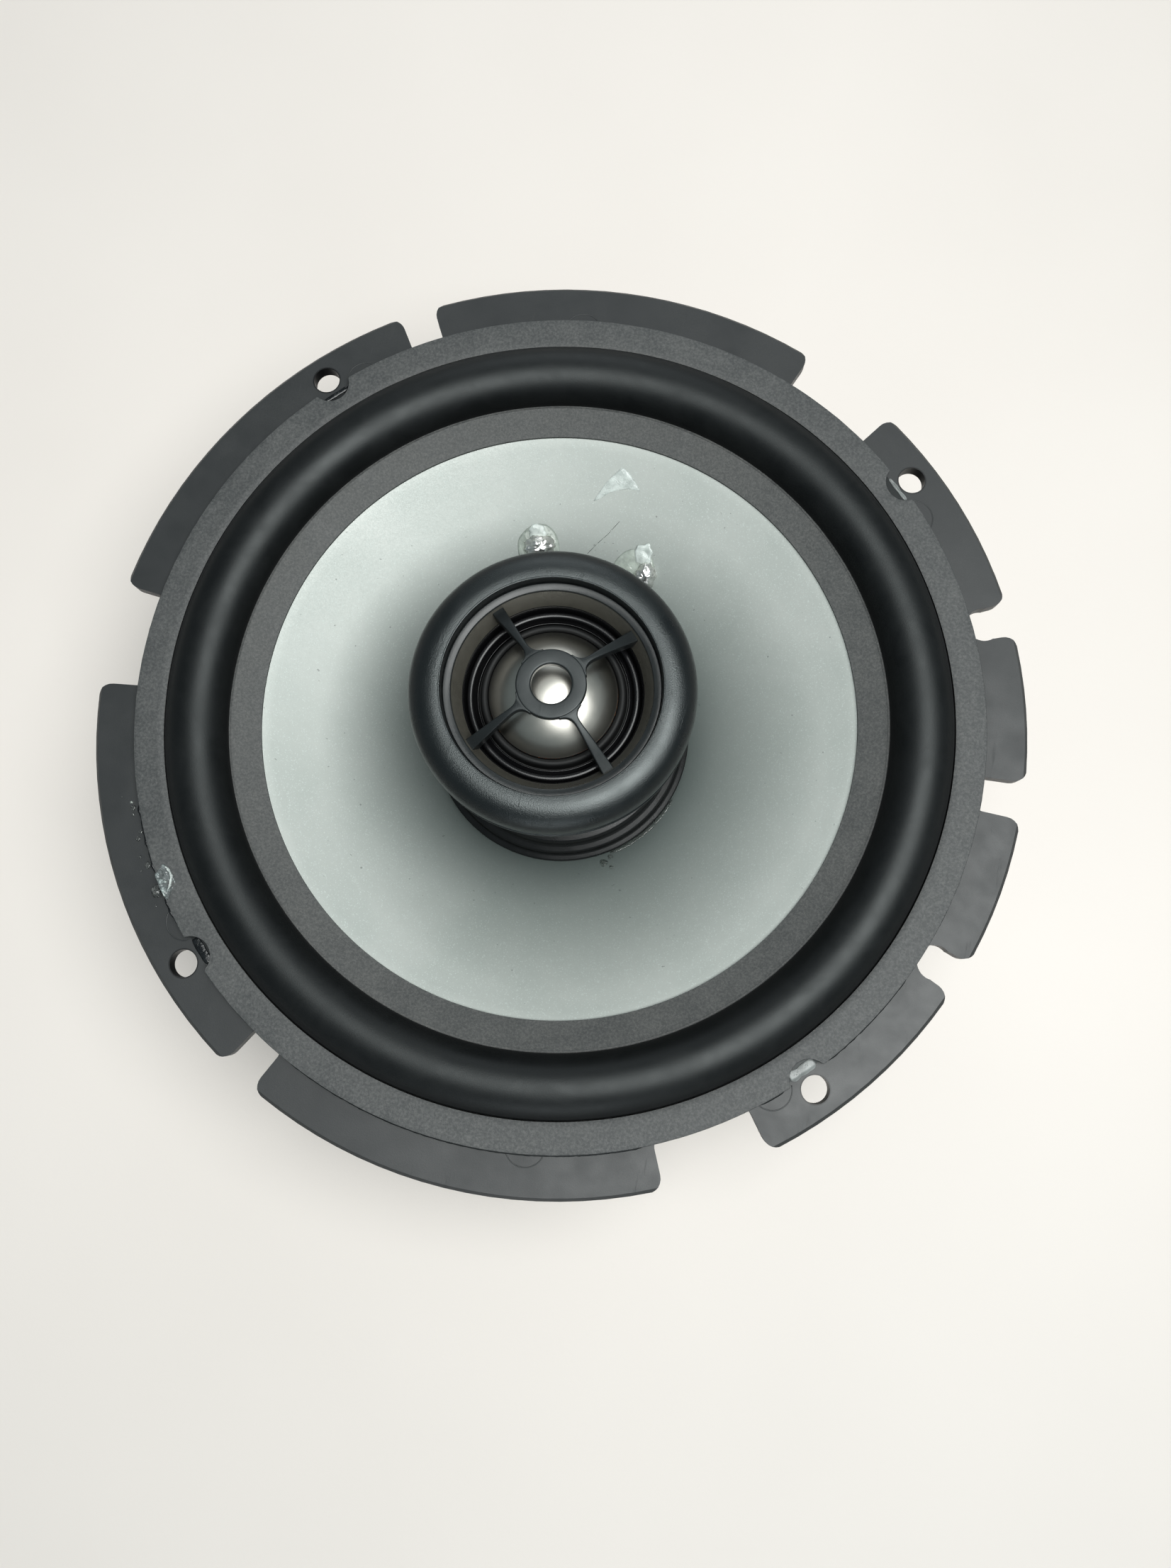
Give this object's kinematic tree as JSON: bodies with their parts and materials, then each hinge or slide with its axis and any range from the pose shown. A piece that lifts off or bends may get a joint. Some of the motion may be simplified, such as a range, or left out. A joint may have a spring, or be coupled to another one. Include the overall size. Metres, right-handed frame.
{
  "type": "coaxial car speaker",
  "caption": "Round coaxial car speaker: tabbed plastic basket, silver cone with rubber half-roll surround, and a raised dome tweeter on a post in front of it.",
  "frame": {"origin": "centre of the bolt circle on the flange's rear seating face", "axes": "+Z out of the front towards the listener, +X towards the narrow flange gap between the two round notches, connection panel on the +Y side"},
  "size_m": [0.165, 0.166, 0.0786],
  "materials": {
    "basket_plastic": "satin moulded",
    "gasket_rubber": "matte fine grain",
    "surround_rubber": "satin",
    "cone_silver": "matte metallic silver",
    "dust_ring_plastic": "satin black",
    "former_film": "amber film",
    "copper_wire": "enamelled",
    "solder": "bright",
    "spider_cloth": "treated weave",
    "tinsel_braid": "braided",
    "plated_steel": "zinc plated",
    "ferrite": "ground",
    "boot_rubber": "satin",
    "screw_steel": "satin",
    "tweeter_black": "satin painted",
    "face_ring_black": "gloss",
    "neodymium": "nickel plated",
    "dome_metal": "satin",
    "soft_black": "doped",
    "lead_red": "satin",
    "lead_black": "satin",
    "panel_board": "pressed board",
    "tinned_brass": "tinned",
    "rivet_metal": "satin",
    "capacitor_sleeve": "shrink sleeve",
    "hot_glue": "waxy"
  },
  "bodies": {
    "frame": {"basket": "basket_plastic", "gasket": "gasket_rubber", "top_plate": "plated_steel", "ferrite_magnet": "ferrite", "pole_yoke": "plated_steel", "magnet_boot": "boot_rubber", "basket_screws": "screw_steel", "tweeter_post": "tweeter_black", "post_bolt": "screw_steel", "post_nut": "screw_steel", "tweeter_housing": "tweeter_black", "tweeter_rim": "tweeter_black", "tweeter_grille": "tweeter_black", "tweeter_face_ring": "face_ring_black", "tweeter_pot": "plated_steel", "tweeter_magnet": "neodymium", "tweeter_pole_disc": "plated_steel", "tweeter_lead_positive": "lead_red", "tweeter_lead_negative": "lead_black", "terminal_panel": "panel_board", "terminal_positive": "tinned_brass", "terminal_negative": "tinned_brass", "panel_rivet": "rivet_metal", "capacitor": "capacitor_sleeve", "capacitor_glue": "hot_glue"},
    "moving_cone": {"cone": "cone_silver", "dust_ring": "dust_ring_plastic", "voice_coil_former": "former_film", "voice_coil_winding": "copper_wire", "coil_end_wires": "copper_wire", "solder_joints": "solder", "surround": "surround_rubber", "spider": "spider_cloth", "tinsel_lead_left": "tinsel_braid", "tinsel_lead_right": "tinsel_braid"},
    "tweeter_diaphragm": {"tweeter_dome": "dome_metal", "tweeter_surround": "soft_black", "tweeter_coil": "copper_wire"}
  },
  "joints": [
    {"name": "cone_travel", "type": "slide", "parent": "frame", "child": "moving_cone", "axis": [0, 0, 1], "range_m": [-0.005, 0.005], "stiffness_N_per_m": 2000, "deforming": ["surround", "spider", "tinsel_lead_left", "tinsel_lead_right"]},
    {"name": "tweeter_travel", "type": "slide", "parent": "frame", "child": "tweeter_diaphragm", "axis": [0, 0, 1], "range_m": [-0.0003, 0.0003], "stiffness_N_per_m": 200, "deforming": ["tweeter_surround"]}
  ]
}
